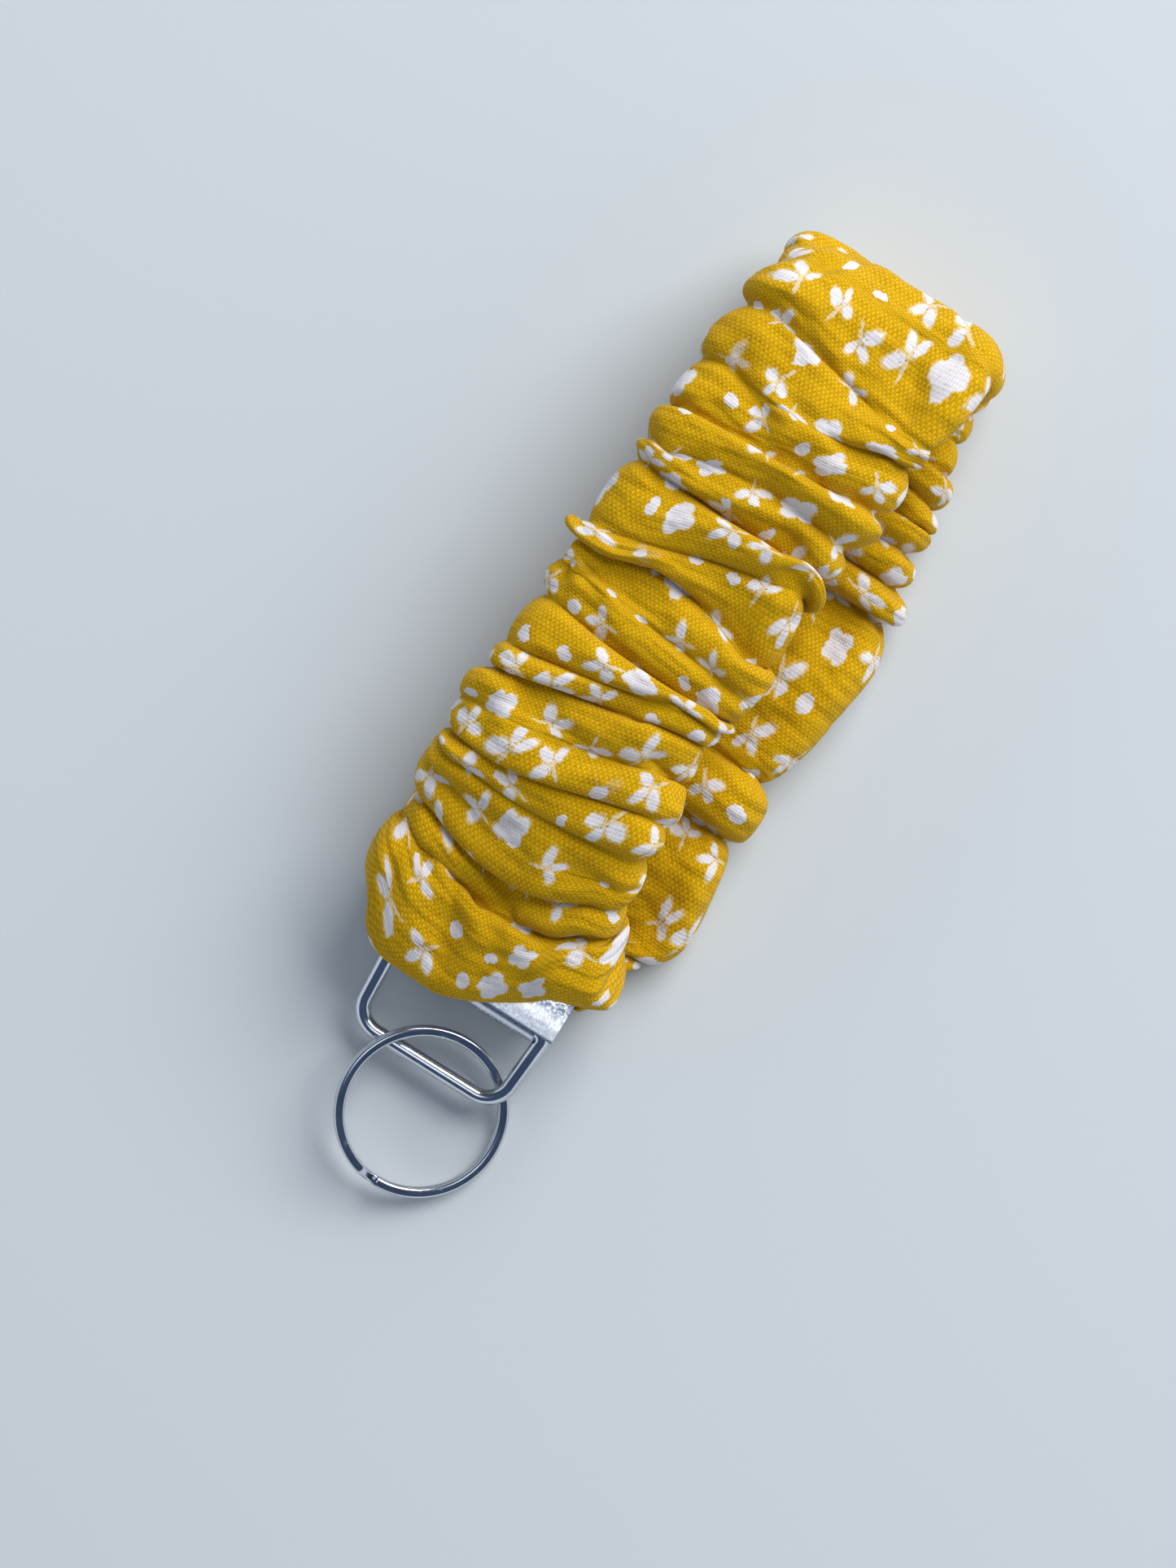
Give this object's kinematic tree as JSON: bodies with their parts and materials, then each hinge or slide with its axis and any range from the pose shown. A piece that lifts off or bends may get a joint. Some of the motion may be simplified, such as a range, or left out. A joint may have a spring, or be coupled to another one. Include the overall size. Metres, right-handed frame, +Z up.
{
  "type": "wristlet key strap",
  "caption": "Folded elastic wrist strap in a gathered cotton sleeve, with an end clamp, a hinged wire loop and a split key ring.",
  "frame": {"origin": "middle of the footprint, on the surface that the strap lies on", "axes": "+X along the strap, from the key ring towards the fold; +Y across the strap, along the clamp's hinge; +Z up from the surface"},
  "size_m": [0.1507, 0.0474, 0.029],
  "materials": {
    "clamp_steel": "nickel-plated sheet steel, bright with a faint grain",
    "loop_wire": "nickel-plated round wire, glossy",
    "ring_wire": "nickel-plated spring wire, glossy",
    "elastic": "woven flat elastic, undyed",
    "printed_cotton": "plain-weave quilting cotton, mustard yellow with small white blossoms and sprigs",
    "thread": "spun polyester sewing thread"
  },
  "bodies": {
    "strap": {"crimp_clamp": "clamp_steel", "elastic_band": "elastic", "fabric_sleeve": "printed_cotton", "end_stitching": "thread", "seam_stitching": "thread"},
    "wire_loop": {"wire_loop": "loop_wire"},
    "split_ring": {"split_ring": "ring_wire"}
  },
  "joints": [
    {"name": "loop_hinge", "type": "hinge", "parent": "strap", "child": "wire_loop", "pos_m": [-0.0443, -0.00035, 0.007], "axis": [0, 1, 0], "range_deg": [-85, 15]},
    {"name": "ring_on_bar", "type": "hinge", "parent": "wire_loop", "child": "split_ring", "pos_m": [-0.05663, -0.00035, 0.00438], "axis": [0, 1, 0], "range_deg": [0, 100]}
  ]
}
